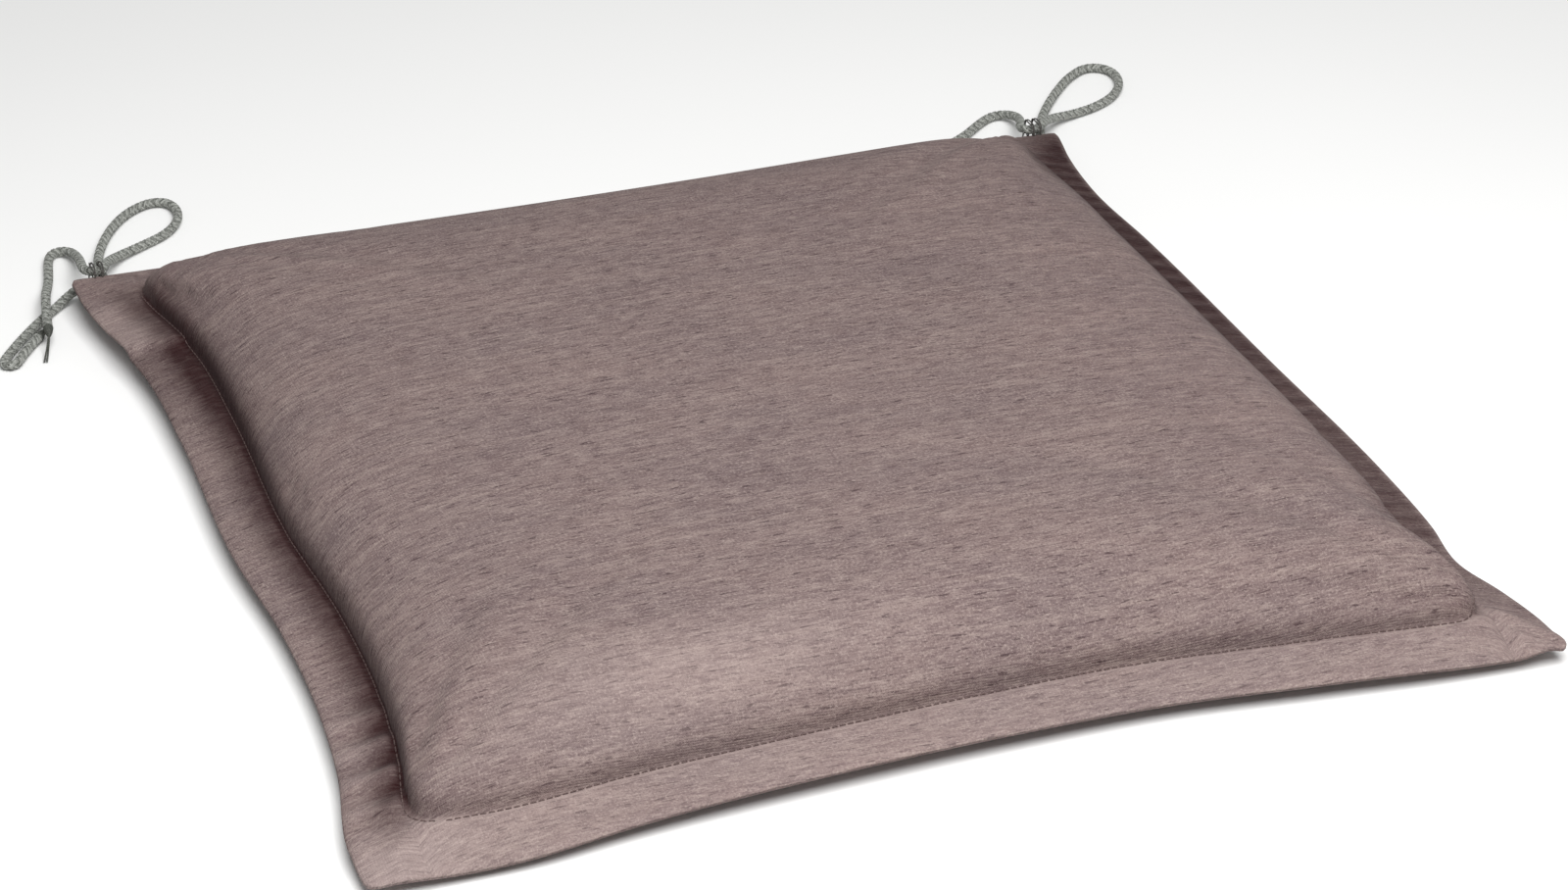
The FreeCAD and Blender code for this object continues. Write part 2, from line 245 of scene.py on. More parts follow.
def hermite(x, y, at):
    """Smooth line through values y at places x, read at other places. y may hold rows of values."""
    slope = np.gradient(y, x, axis=0)
    at = np.clip(at, x[0], x[-1])
    i = np.clip(np.searchsorted(x, at) - 1, 0, len(x) - 2)
    more = (1,) * (y.ndim - 1)
    span = (x[i + 1] - x[i]).reshape(at.shape + more)
    t = (at - x[i]).reshape(at.shape + more) / span
    return ((1 + 2 * t) * (1 - t) ** 2 * y[i] + t * (1 - t) ** 2 * span * slope[i]
            + t * t * (3 - 2 * t) * y[i + 1] + t * t * (t - 1) * span * slope[i + 1])


def smooth_curve(knots, at):
    """Smooth line through (place, value) knots, read at the given places."""
    x, y = np.array(knots, float).T
    return hermite(x, y, at)


def step(low, high, x):
    """Smooth rise from 0 at low to 1 at high."""
    t = np.clip((x - low) / (high - low), 0.0, 1.0)
    return t * t * (3 - 2 * t)


def bump(x, centre, width):
    """Bell of height 1."""
    return np.exp(-((x - centre) / width) ** 2)


# ---- node materials
def linear(colour):
    """A display colour, 0 to 255, as the linear one that a shader takes; an output stays as it is."""
    if not isinstance(colour, tuple):
        return colour
    return tuple(((c / 255 + 0.055) / 1.055) ** 2.4 for c in colour) + (1.0,)


class Nodes:
    """Small helper to write a material's node tree."""

    def __init__(self, name):
        self.material = bpy.data.materials.new(name)
        self.material.use_nodes = True
        self.tree = self.material.node_tree
        self.tree.nodes.clear()
        self.shader = self.add("ShaderNodeBsdfPrincipled")
        output = self.add("ShaderNodeOutputMaterial")
        self.join(self.shader.outputs["BSDF"], output.inputs["Surface"])

    def add(self, kind, inputs=None, **values):
        """New node; its inputs are given by name or number, as values or as outputs to link."""
        node = self.tree.nodes.new(kind)
        for key, value in values.items():
            setattr(node, key, value)
        for key, value in (inputs or {}).items():
            self.fill(node.inputs[key], value)
        return node

    def join(self, source, target):
        self.tree.links.new(source, target)

    def fill(self, socket, value):
        """Link a socket to an output, or set its own value."""
        if isinstance(value, bpy.types.NodeSocket):
            self.join(value, socket)
        else:
            socket.default_value = value

    def attribute(self, name, output="Fac"):
        return self.add("ShaderNodeAttribute", attribute_name=name).outputs[output]

    def place(self):
        return self.add("ShaderNodeTexCoord").outputs["Object"]

    def scaled(self, vector, scale):
        return self.add("ShaderNodeVectorMath", {0: vector, 1: scale}, operation="MULTIPLY").outputs[0]

    def noise(self, vector, scale, detail=2.0, rough=0.55):
        inputs = {"Vector": self.scaled(vector, scale), "Scale": 1.0, "Detail": detail, "Roughness": rough}
        return self.add("ShaderNodeTexNoise", inputs).outputs["Fac"]

    def bands(self, vector, direction, scale):
        inputs = {"Vector": self.scaled(vector, (scale, scale, 1.0)), "Scale": 0.5, "Distortion": 1.2,
                  "Detail": 1.0}
        node = self.add("ShaderNodeTexWave", inputs, wave_type="BANDS", bands_direction=direction)
        return node.outputs["Fac"]

    def math(self, operation, a, b=0.0):
        return self.add("ShaderNodeMath", {0: a, 1: b}, operation=operation).outputs[0]

    def span(self, value, low, high, to_low=0.0, to_high=1.0):
        inputs = {"Value": value, "From Min": low, "From Max": high, "To Min": to_low, "To Max": to_high}
        return self.add("ShaderNodeMapRange", inputs).outputs["Result"]

    def mix(self, share, a, b):
        """Mix two outputs or display colours."""
        inputs = {"Factor": share, "A": linear(a), "B": linear(b)}
        return self.add("ShaderNodeMix", inputs, data_type="RGBA", blend_type="MIX").outputs["Result"]

    def bump(self, height, distance, strength=1.0):
        inputs = {"Strength": strength, "Distance": distance, "Height": height}
        return self.add("ShaderNodeBump", inputs).outputs["Normal"]

    def finish(self, colour, normal=None, roughness=0.85, sheen=0.0, specular=0.3):
        self.fill(self.shader.inputs["Base Color"], colour)
        if normal is not None:
            self.join(normal, self.shader.inputs["Normal"])
        self.fill(self.shader.inputs["Roughness"], roughness)
        self.shader.inputs["Sheen Weight"].default_value = sheen
        self.shader.inputs["Sheen Roughness"].default_value = 0.5
        self.shader.inputs["Specular IOR Level"].default_value = specular
        return self.material


CLOTH_NOISE = {  # grains per metre along and across the weft, detail, roughness
    "slub": (150.0, 640.0, 2.0, 0.55),
    "dash": (125.0, 760.0, 1.0, 0.5),
    "fleck": (900.0, 1200.0, 2.0, 0.6),
    "patch": (75.0, 130.0, 2.0, 0.55),
    "cloud": (12.0, 26.0, 3.0, 0.5),
    "streak": (17.0, 230.0, 3.0, 0.55),
}
CLOTH_TINTS = [  # noise, where the tint starts and where it is full, its share, its colour
    ("patch", 0.50, 0.68, 0.35, (146, 130, 125)),
    ("patch", 0.48, 0.34, 0.30, (110, 92, 89)),
    ("streak", 0.52, 0.68, 0.34, (158, 141, 134)),
    ("streak", 0.48, 0.32, 0.34, (98, 82, 82)),
    ("slub", 0.52, 0.68, 0.50, (92, 75, 77)),
    ("slub", 0.46, 0.32, 0.50, (156, 140, 134)),
    ("dash", 0.635, 0.70, 0.75, (64, 48, 51)),
    ("fleck", 0.54, 0.68, 0.55, (80, 64, 67)),
    ("fleck", 0.45, 0.30, 0.55, (176, 160, 154)),
]


def fabric_material():
    """Woven melange: slubs and streaks along the weft, warp and weft ribs, painted highlights and painted
    shade.
    """
    n = Nodes("melange_fabric")
    cloth = n.attribute("cloth", "Vector")
    grain = {name: n.noise(cloth, (along, across, 1.0), detail, rough)
             for name, (along, across, detail, rough) in CLOTH_NOISE.items()}
    base = n.mix(n.span(grain["cloud"], 0.35, 0.65), (120, 104, 103), (131, 113, 110))
    for name, start, full, share, colour in CLOTH_TINTS:
        base = n.mix(n.span(grain[name], start, full, 0.0, share), base, colour)
    slub = grain["slub"]
    # Painted highlight in a pale colour and painted shade in dark red-brown, broken up by the slubs.
    for name, low, high, colour in (("painted_highlight", 1.0, 0.6, (186, 168, 163)),
                                    ("painted_shade", 0.9, 1.0, (40, 11, 13))):
        share = n.math("MULTIPLY", n.attribute(name), n.span(slub, 0.3, 0.7, low, high))
        base = n.mix(share, base, colour)
    weave = n.math("MULTIPLY", n.bands(cloth, "Y", 600.0), n.bands(cloth, "X", 640.0))
    relief = n.math("ADD", n.math("MULTIPLY", weave, 0.6), n.math("MULTIPLY", slub, 1.6))
    normal = n.bump(n.math("ADD", relief, grain["fleck"]), 0.00035, 0.8)
    return n.finish(base, normal, n.span(slub, 0.3, 0.7, 0.82, 0.95), sheen=0.03, specular=0.12)


def yarn_material():
    """Cord yarns: each one light or dark, flecked along its length, with fine fibres."""
    n = Nodes("braided_yarn")
    tone = n.attribute("tone")
    place = n.attribute("along", "Vector")
    fleck = n.noise(place, (900.0, 2500.0, 1.0), 2.0, 0.6)
    fibre = n.noise(place, (500.0, 9000.0, 1.0), 2.0, 0.6)
    base = n.mix(tone, (72, 74, 68), (178, 180, 174))
    base = n.mix(n.span(fleck, 0.52, 0.66, 0.0, 0.75), base, (50, 52, 47))
    base = n.mix(n.span(fleck, 0.46, 0.32, 0.0, 0.65), base, (200, 202, 196))
    normal = n.bump(fibre, 0.0002, 0.7)
    return n.finish(base, normal, n.span(fibre, 0.3, 0.7, 0.7, 0.9), sheen=0.1, specular=0.25)


def thread_material(name, dark, light):
    """Twisted sewing thread."""
    n = Nodes(name)
    place = n.place()
    ply = n.noise(place, (2600.0,) * 3, 1.0, 0.5)
    base = n.mix(n.span(ply, 0.35, 0.65), dark, light)
    return n.finish(base, n.bump(ply, 0.00012, 0.7), n.span(ply, 0.3, 0.7, 0.55, 0.75), specular=0.35)


def foam_material():
    """Open-cell foam."""
    n = Nodes("open_cell_foam")
    place = n.place()
    cells = n.add("ShaderNodeTexVoronoi", {"Vector": place, "Scale": 900.0}, feature="F1")
    cells = cells.outputs["Distance"]
    cloud = n.noise(place, (20.0,) * 3, 2.0, 0.5)
    base = n.mix(n.span(cloud, 0.3, 0.7), (226, 205, 150), (240, 226, 184))
    base = n.mix(n.span(cells, 0.0, 0.45, 0.5, 0.0), base, (168, 140, 88))
    return n.finish(base, n.bump(cells, 0.0006, 0.9), 0.9)


def wadding_material():
    """Fluffy white polyester fibre."""
    n = Nodes("polyester_wadding")
    place = n.place()
    fibre = n.noise(place, (420.0, 420.0, 900.0), 5.0, 0.7)
    tuft = n.noise(place, (60.0,) * 3, 3.0, 0.6)
    base = n.mix(n.span(fibre, 0.3, 0.7), (214, 214, 210), (246, 246, 243))
    base = n.mix(n.span(tuft, 0.55, 0.75, 0.0, 0.4), base, (196, 196, 192))
    return n.finish(base, n.bump(fibre, 0.0012, 0.9), 0.95, sheen=0.3)


# ---- shape of the pad
COARSE_INSETS = [0.0, 2.0, 5.0, 9.0, 13.0, 17.0, 20.5, 23.0, 24.5, 26.5, 29.5, 33.5, 38.0, 42.5]
FINE_INSETS = [
    0.0, 0.4, 0.9, 1.5, 2.3, 3.3, 4.6, 6.0, 7.5, 9.0, 10.5, 12.0, 13.4, 14.8, 16.1, 17.3, 18.4, 19.4, 20.3,
    21.1, 21.8, 22.4, 22.9, 23.3, 23.7, 24.0, 24.1, 24.3, 24.6, 25.0, 25.5, 26.1, 26.8, 27.6, 28.5, 29.5,
    30.7, 32.1, 33.7, 35.5, 37.5, 39.7, 42.0]


def grid_lines(half, insets, gap):
    """Places of the mesh lines, -1 to 1 at the pad's edges: insets in millimetres, then even gaps."""
    outer = [half - i * MM for i in insets]
    count = round(2 * outer[-1] / gap)
    middle = np.linspace(-outer[-1], outer[-1], count + 1)[1:-1]
    lines = np.concatenate([[-v for v in outer], middle, outer[::-1]])
    return np.sort(lines) / half


class Plan:
    """Plan of the pad on a grid of mesh lines, and the measures that its heights come from."""

    def __init__(self, u, v, inset=0.0, corner=EDGE_CORNER):
        across, along = np.meshgrid(u, v, indexing="ij")
        x0, y0 = across * HALF_X, along * HALF_Y
        pull_x = np.where(across < 0, smooth_curve(PULL_LEFT, y0), smooth_curve(PULL_RIGHT, y0))
        pull_y = np.where(along < 0, smooth_curve(PULL_FRONT, x0), smooth_curve(PULL_REAR, x0))
        half_x, half_y = HALF_X - pull_x, HALF_Y - pull_y
        x = across * (HALF_X - inset) - np.sign(across) * pull_x * step(0.1, 0.7, np.abs(across))
        y = along * (HALF_Y - inset) - np.sign(along) * pull_y * step(0.1, 0.7, np.abs(along))
        rim_x = half_x - inset - np.abs(x)
        rim_y = half_y - inset - np.abs(y)
        in_x = np.clip(1 - rim_x / corner, 0, 1)
        in_y = np.clip(1 - rim_y / corner, 0, 1)
        self.x = x - np.sign(x) * corner * in_x * (1 - np.sqrt(1 - in_y ** 2 / 2))
        self.y = y - np.sign(y) * corner * in_y * (1 - np.sqrt(1 - in_x ** 2 / 2))
        self.rim = np.minimum(rim_x, rim_y)
        self.edge = self.rim + inset
        self.from_x = half_x - np.abs(self.x)
        self.from_y = half_y - np.abs(self.y)
        soft = self.by_corner(SOFT_CORNER)
        body_x = np.maximum(self.from_x - FLANGE + soft, 1e-4)
        body_y = np.maximum(self.from_y - FLANGE + soft, 1e-4)
        self.body = (body_x ** -3 + body_y ** -3) ** (-1 / 3) - soft
        reach = ((self.from_x - FLANGE) ** 2 + (self.from_y - FLANGE) ** 2) / SOFT_CORNERS ** 2
        self.cornered = np.exp(-reach) * self.by_corner(SLACK)
        self.sided = step(-0.012, 0.030, self.from_y - self.from_x)
        edge_z = total = 0.0
        for place, half, side, knots, at in (
                (self.x, half_x, -1, EDGE_LEFT, self.y), (self.x, half_x, 1, EDGE_RIGHT, self.y),
                (self.y, half_y, -1, EDGE_FRONT, self.x), (self.y, half_y, 1, EDGE_REAR, self.x)):
            closeness = 1.0 / (half - side * place + 0.002) ** 2
            edge_z += closeness * smooth_curve(knots, at)
            total += closeness
        self.edge_z = edge_z / total
        self.stitch_z = STITCH_FRONT + (STITCH_REAR - STITCH_FRONT) * (self.y + HALF_Y) / (2 * HALF_Y)
        share = np.clip(self.edge / FLANGE, 0, 1)
        self.middle = self.edge_z + (self.stitch_z - self.edge_z) * share

    def at(self, z):
        """Points of the plan at the given heights."""
        return np.stack([self.x, self.y, z], -1)

    def by_corner(self, values):
        """A value given for the four corners, blended across the middle of the pad."""
        right = step(-0.100, 0.100, self.x)
        rear = step(-0.100, 0.100, self.y)
        front, back = (values[i] * (1 - right) + values[i + 1] * right for i in (0, 2))
        return front * (1 - rear) + back * rear

    def lip(self):
        """Half the flange's thickness, rounded off at the outer edge."""
        run = np.clip(self.edge / 0.003, 0, 1)
        return LIP * np.sqrt(1 - (1 - run) ** 2)

    def top(self):
        """Height of the top panel's outer surface."""
        rise = np.clip(self.body / (BODY_RUN * (1 + CORNER_RUN * self.cornered)), 0, 1)
        side = self.sided * (1 - self.cornered)
        side *= 1 - REAR_EASE * step(0.0, 0.18, self.y) * step(-0.05, 0.05, self.x)
        run, lift = (soft + side * (np.where(self.x < 0, left, right) - soft)
                     for soft, left, right in zip(SOFT_FLANK, LEFT_FLANK, RIGHT_FLANK))
        flank = np.clip(1 - (1 - rise) ** run, 0, 1) ** (1 / lift)
        crown = CROWN * np.clip(1 - (self.x / 0.2) ** 2, 0, 1) * np.clip(1 - (self.y / 0.21) ** 2, 0, 1)
        return self.middle + self.lip() + (HEIGHT - CROWN - self.stitch_z) * flank + crown

    def bottom(self):
        """Height of the bottom panel's outer surface."""
        rise = np.clip(self.body / FOOT_RUN, 0, 1)
        flank = np.sqrt(np.clip(1 - (1 - rise) ** 2, 0, 1))
        return (self.middle - self.lip()) * (1 - flank) + CLEAR * flank


def wave(at, period, seed):
    """Uneven ripple, about -1 to 1, along a seam."""
    drift = 0.9 * np.sin(at / (3.7 * period) + seed) + 0.6 * np.sin(at / (1.9 * period) + 2.3 * seed)
    swell = 0.65 + 0.35 * np.sin(at / (1.4 * period) + 1.7 * seed)
    return swell * np.sin(2 * math.pi * at / period + 2 * drift)


def puckers(plan):
    """Small folds that the topstitch draws across the flange and the foot of the flank."""
    x, y = plan.x, plan.y
    reach = bump(plan.edge, 0.0185, 0.0085)
    left = wave(y, LEFT_GATHERS, 1.3)
    left *= 0.0004 + 0.0034 * bump(y, -0.172, 0.040) + 0.0004 * bump(y, 0.10, 0.12)
    right = 0.0013 * wave(y, RIGHT_GATHERS, 2.1)
    front = 0.00025 * wave(x, 0.031, 0.4)
    rear = 0.0007 * wave(x, 0.014, 3.2)
    sides = [(left, HALF_X + x), (right, HALF_X - x), (front, HALF_Y + y), (rear, HALF_Y - y)]
    return reach * sum(height * step(0.05, 0.0, away) for height, away in sides)


def fold_place(plan):
    """Place along the left flange, measured square to its large fold near the rear corner."""
    return plan.y + 0.30 * (plan.x + 0.222)


def pleat_wave(y):
    """The short pleats of the left flange near the front corner, about -1 to 1."""
    return wave(y, 0.0210, 2.6) * bump(y, -0.178, 0.034)


def folds(plan):
    """The flange's larger single folds."""
    x, y = plan.x, plan.y
    on_flange = step(0.030, 0.022, plan.edge)
    across = fold_place(plan)
    rear_left = 0.0026 * step(FOLD_AT - 0.0025, FOLD_AT + 0.0015, across) * step(-0.190, -0.212, x)
    rear_left *= step(0.200, FOLD_AT + 0.0035, across)
    ear = np.abs((HALF_X - x) - (HALF_Y + y))
    front_right = 0.0022 * bump(ear, 0.006, 0.007) * step(0.034, 0.016, HALF_X - x)
    ear = np.abs((HALF_X + x) - (HALF_Y + y))
    front_left = -0.0012 * bump(ear, 0.0, 0.009) * step(0.034, 0.018, HALF_X + x)
    groove = -0.0010 * bump(plan.from_y, 0.011, 0.005) * step(-0.160, -0.205, x) * (y < 0)
    pleats = 0.0030 * pleat_wave(y) * step(0.0, 0.006, plan.edge)
    pleats *= step(-0.190, -0.208, x)
    return on_flange * (rear_left + front_right + front_left + groove + pleats)


def stitch_groove(plan):
    """Dip that the topstitch presses into the cloth."""
    return 0.0009 * bump(plan.body, STITCH_INSET - FLANGE, 0.0016)


# ---- cloth simulation
def grid_faces(rows, columns, first=0, flip=False):
    """Quads of a grid of points, stored row by row."""
    index = first + np.arange(rows * columns).reshape(rows, columns)
    a, b, c, d = index[:-1, :-1], index[1:, :-1], index[1:, 1:], index[:-1, 1:]
    quads = np.stack([a, b, c, d], -1).reshape(-1, 4)
    return quads[:, ::-1] if flip else quads


CLOTH_FRAMES = 20
CLOTH_SETTINGS = {
    "quality": 5,
    "mass": 0.3,
    "tension_stiffness": 25,
    "compression_stiffness": 25,
    "shear_stiffness": 12,
    "bending_stiffness": 0.6,
    "vertex_group_mass": "held",
    "pin_stiffness": 1.0,
    "vertex_group_shrink": "slack",
    "shrink_min": 0.0,
    "shrink_max": -0.035,  # cut this share too large where it is slack
    "use_pressure": True,
    "uniform_pressure_force": 4.0,
}


def settle_cloth(plan, u, v):
    """Inflate the cover over its filling, held at the topstitch, and return how far the top moves.

    The cloth is cut a little too large round the seam, so the pressure leaves soft folds there.
    """
    rows, columns = plan.x.shape
    top, bottom = plan.at(plan.top()), plan.at(plan.bottom())
    count = rows * columns
    edge = rim_mask(rows, columns)
    under = np.arange(count, 2 * count).reshape(rows, columns)
    under[edge] = np.arange(count).reshape(rows, columns)[edge]
    used = np.concatenate([np.arange(count), under[~edge]])
    renumber = np.full(2 * count, -1)
    renumber[used] = np.arange(len(used))
    points = np.concatenate([top.reshape(-1, 3), bottom.reshape(-1, 3)])[used]
    upper = grid_faces(rows, columns)
    lower = under.ravel()[grid_faces(rows, columns, flip=True)]
    obj = mesh_object("cloth_trial", points, renumber[np.concatenate([upper, lower])])

    body = np.tile(plan.body.ravel(), 2)[used]
    held = np.maximum(step(0.002, -0.001, body), (points[:, 2] < 0.0012).astype(float))
    slack = 0.15 + 0.85 * bump(body, 0.012, 0.022)
    for name, weights in (("held", held), ("slack", slack)):
        group = obj.vertex_groups.new(name=name)
        for i, weight in enumerate(weights):
            if weight > 0.001:
                group.add([i], float(weight), "REPLACE")
    modifier = obj.modifiers.new("cloth", "CLOTH")
    for key, value in CLOTH_SETTINGS.items():
        setattr(modifier.settings, key, value)
    modifier.settings.effector_weights.gravity = 0.0
    modifier.collision_settings.use_self_collision = False
    modifier.point_cache.frame_start = 1
    modifier.point_cache.frame_end = CLOTH_FRAMES
    scene = bpy.context.scene
    for number in range(1, CLOTH_FRAMES + 1):
        scene.frame_set(number)
    settled = obj.evaluated_get(bpy.context.evaluated_depsgraph_get()).to_mesh()
    moved = np.empty(len(points) * 3)
    settled.vertices.foreach_get("co", moved)
    moved = moved.reshape(-1, 3)[:count].reshape(rows, columns, 3) - top
    scene.frame_set(1)
    bpy.data.objects.remove(obj, do_unlink=True)
    swelling = spread(moved, u, v, FOLD_WIDTH)
    kept_folds = FOLD_SHARE + (1 - FOLD_SHARE) * step(0.020, 0.004, plan.body)
    moved = BILLOW * swelling + kept_folds[..., None] * (moved - swelling)
    far = np.linalg.norm(moved, axis=-1, keepdims=True)
    return moved * np.minimum(1.0, FOLD_CAP / np.maximum(far, 1e-9))


def averaging(lines, width):
    """Weights that average values over the given width, for mesh lines at uneven distances."""
    share = np.exp(-((lines[:, None] - lines[None, :]) / width) ** 2) * np.gradient(lines)[None, :]
    return share / share.sum(1, keepdims=True)


def spread(field, u, v, width):
    """A field on the grid, evened out over a width."""
    weights = averaging(u * HALF_X, width), averaging(v * HALF_Y, width)
    return np.einsum("ik,jl,klc->ijc", *weights, field, optimize=True)


def resampled(field, coarse, fine):
    """A field on the coarse mesh lines, read on the fine ones."""
    for axis in (0, 1):
        field = np.moveaxis(hermite(coarse[axis], np.moveaxis(field, axis, 0), fine[axis]), 0, axis)
    return field


def normals_of(points):
    """Outward normals of a grid whose rows run along +X and columns along +Y."""
    normal = np.cross(*np.gradient(points, axis=(0, 1)))
    return normal / np.maximum(np.linalg.norm(normal, axis=-1, keepdims=True), 1e-12)


def cloth_places(points):
    """Where each point lies on the flat cloth: distance walked along the grid from the middle."""
    rows, columns = points.shape[:2]
    walked = np.zeros(points.shape)
    walked[1:, :, 0] = np.cumsum(np.linalg.norm(np.diff(points, axis=0), axis=-1), axis=0)
    walked[:, 1:, 1] = np.cumsum(np.linalg.norm(np.diff(points, axis=1), axis=-1), axis=1)
    walked[..., 0] -= walked[rows // 2, :, 0]
    walked[..., 1] -= walked[:, columns // 2, None, 1]
    return walked


def panel(name, points, inward, plan, painted_shade, painted_highlight):
    """Fabric panel as a thin closed shell: its outer surface, its inner one and their shared rim."""
    rows, columns = points.shape[:2]
    count = rows * columns
    thick = np.minimum(CLOTH, 0.6 * plan.lip())
    inner = points + inward * normals_of(points) * thick[..., None]
    edge = rim_mask(rows, columns)
    inner_index = np.full((rows, columns), -1)
    inner_index[~edge] = count + np.arange((~edge).sum())
    inner_index[edge] = np.arange(count).reshape(rows, columns)[edge]
    verts = np.concatenate([points.reshape(-1, 3), inner[~edge]])
    outer_faces = grid_faces(rows, columns, flip=inward > 0)
    inner_faces = inner_index.ravel()[grid_faces(rows, columns, flip=inward < 0)]
    obj = mesh_object(name, verts, np.concatenate([outer_faces, inner_faces]))
    for field, values in (("cloth", cloth_places(points)), ("painted_shade", painted_shade), ("painted_highlight", painted_highlight)):
        outside = values.reshape(count, *values.shape[2:])
        point_field(obj, field, np.concatenate([outside, values[~edge]]))
    return obj


def painted_shade_share(plan):
    """Painted shade: how deep a point lies in the shade of the fold beside the topstitch, of the side
    walls, of the right shoulder and of the rear corners.
    """
    x, y, body = plan.x, plan.y, plan.body
    narrow = bump(body, -0.0002, 0.0020)
    gathers = (0.2 + 0.8 * bump(y, -0.175, 0.050)) * np.clip(wave(y, LEFT_GATHERS, 1.3), 0, 1)
    left = step(0.0050, 0.0205, plan.edge) * (0.84 - 0.34 * gathers)
    across = fold_place(plan)
    left += 0.34 * step(FOLD_AT, FOLD_AT - 0.0035, across) * step(0.070, 0.150, across)
    left += 0.45 * np.clip(-pleat_wave(y), 0, 1)
    rearward = 0.72 * step(-0.245, -0.140, y) + 0.28 * step(-0.100, 0.100, y)
    right = step(-0.0010, 0.0046, plan.edge) * (0.91 + 0.16 * wave(y, RIGHT_GATHERS, 2.1)) * rearward
    flange = np.where(x < 0, left, right)
    wall = 0.12 * bump(body, 0.0, 0.0080) + 0.34 * bump(body, 0.0, 0.0050) * step(-0.04, 0.10, y)
    shoulder = 0.46 * bump(body, 0.0020, 0.0095) * (x > 0) * rearward
    share = np.where(body <= 0, flange, wall + shoulder)
    rear_right = 0.50 * bump(x, 0.224, 0.020) * bump(y, 0.240, 0.018)
    rear_left = 0.60 * np.clip(wave(x, 0.0085, 0.7), 0, 1) * bump(x, -0.202, 0.011) * bump(y, 0.236, 0.009)
    corners = (rear_right + rear_left) * (body < 0.001)
    return np.clip(0.24 * narrow + corners + plan.sided * (0.30 * narrow + share), 0, 0.97)


def painted_highlight_share(plan):
    """Painted highlight where the cloth faces the light: the front flange and shoulder, and the left
    flange's ends.
    """
    x, y, body = plan.x, plan.y, plan.body
    on_flange = step(0.0, -FLANGE_TURN, body)
    front = step(-0.020, 0.010, plan.from_x - plan.from_y) * (y < 0)
    ridge = 0.55 * bump(body, -0.0016, 0.0012) * (0.75 + 0.25 * wave(x, 0.041, 0.9))
    flange = 0.22 * on_flange * (0.8 + 0.2 * wave(x, 0.090, 2.2))
    shoulder = 0.30 * bump(body, 0.020, 0.018) * bump(x, -0.105, 0.080)
    ear = 0.40 * bump(x, -0.225, 0.030) * bump(y, -0.240, 0.016) * on_flange
    across = fold_place(plan)
    left = 0.30 * step(FOLD_AT - 0.0005, FOLD_AT + 0.0025, across) * step(0.226, 0.200, across)
    left += 0.70 * np.clip(pleat_wave(y), 0, 1)
    left *= step(-0.190, -0.205, x) * step(0.0, -0.004, body)
    return np.clip(front * (ridge + flange + shoulder) + ear + left, 0, 1)


# ---- camera, light and floor
CAMERA_AT = (-0.557, -1.567, 0.922)
CAMERA_DOWN = 28.65  # degrees below the horizon
CAMERA_TURN = -19.84  # degrees from the +Y axis
LENS = 104.535  # focal length in millimetres, on a sensor 36 mm wide
LIGHT_TOWARDS = (-0.03, -0.55, 1.0)
LIGHT_AWAY = 1.60
LIGHT_SIZE = 1.2
LIGHT_POWER = 34.0
SURROUNDINGS = 0.27  # strength of the white light from all sides
FLOOR_HALF = 6.0


def camera():
    data = bpy.data.cameras.new("camera")
    data.lens = LENS
    data.sensor_width = 36.0
    obj = link(bpy.data.objects.new("camera", data))
    obj.location = CAMERA_AT
    obj.rotation_euler = (math.radians(90 - CAMERA_DOWN), 0.0, math.radians(CAMERA_TURN))
    bpy.context.scene.camera = obj


def studio():
    """White surroundings, one soft light above the front, and a pale floor."""
    world = bpy.data.worlds.new("studio")
    world.use_nodes = True
    background = world.node_tree.nodes["Background"]
    background.inputs["Color"].default_value = (1.0, 1.0, 1.0, 1.0)
    background.inputs["Strength"].default_value = SURROUNDINGS
    bpy.context.scene.world = world
    bpy.context.scene.view_settings.view_transform = "Standard"
    data = bpy.data.lights.new("key", "AREA")
    data.energy = LIGHT_POWER
    data.size = LIGHT_SIZE
    light = link(bpy.data.objects.new("key", data))
    towards = Vector(LIGHT_TOWARDS).normalized()
    light.location = towards * LIGHT_AWAY
    light.rotation_euler = towards.to_track_quat("Z", "Y").to_euler()
    corners = [(x * FLOOR_HALF, y * FLOOR_HALF, -CLEAR) for x, y in ((-1, -1), (1, -1), (1, 1), (-1, 1))]
    floor = mesh_object("floor", corners, [(0, 1, 2, 3)], smooth=False)
    n = Nodes("pale_floor")
    tint = n.noise(n.place(), (3.0,) * 3, 1.0)
    pale = n.mix(tint, (246, 246, 245), (249, 249, 248))
    floor.data.materials.append(n.finish(pale, roughness=0.9))


# ---- cords
def smooth_line(route):
    """Points read from the route's NURBS spline."""
    curve = bpy.data.curves.new("route", "CURVE")
    curve.dimensions = "3D"
    spline = curve.splines.new("NURBS")
    spline.points.add(len(route) - 1)
    for point, place in zip(spline.points, route):
        point.co = (*place, 1.0)
    spline.order_u = 3
    spline.use_endpoint_u = True
    spline.resolution_u = 16
    obj = bpy.data.objects.new("route", curve)
    mesh = bpy.data.meshes.new_from_object(obj)
    points = np.array([v.co for v in mesh.vertices])
    bpy.data.objects.remove(obj)
    bpy.data.meshes.remove(mesh)
    bpy.data.curves.remove(curve)
    return points


def evenly(points, gap):
    """The same line with points an even distance apart, and the distance walked at each."""
    walked = np.concatenate([[0.0], np.cumsum(np.linalg.norm(np.diff(points, axis=0), axis=1))])
    at = np.linspace(0.0, walked[-1], max(2, round(walked[-1] / gap) + 1))
    return np.stack([np.interp(at, walked, column) for column in points.T], -1), at


def line_frames(points):
    """Tangent and two steady normals at each point of a line."""
    tangent = unit(np.gradient(points, axis=0))
    normal = np.zeros_like(points)
    start = np.cross(tangent[0], (0.0, 0.0, 1.0))
    if np.linalg.norm(start) < 1e-3:
        start = np.cross(tangent[0], (1.0, 0.0, 0.0))
    normal[0] = unit(start)
    for i in range(1, len(points)):
        normal[i] = unit(normal[i - 1] - tangent[i] * np.dot(normal[i - 1], tangent[i]))
    return tangent, normal, np.cross(tangent, normal)


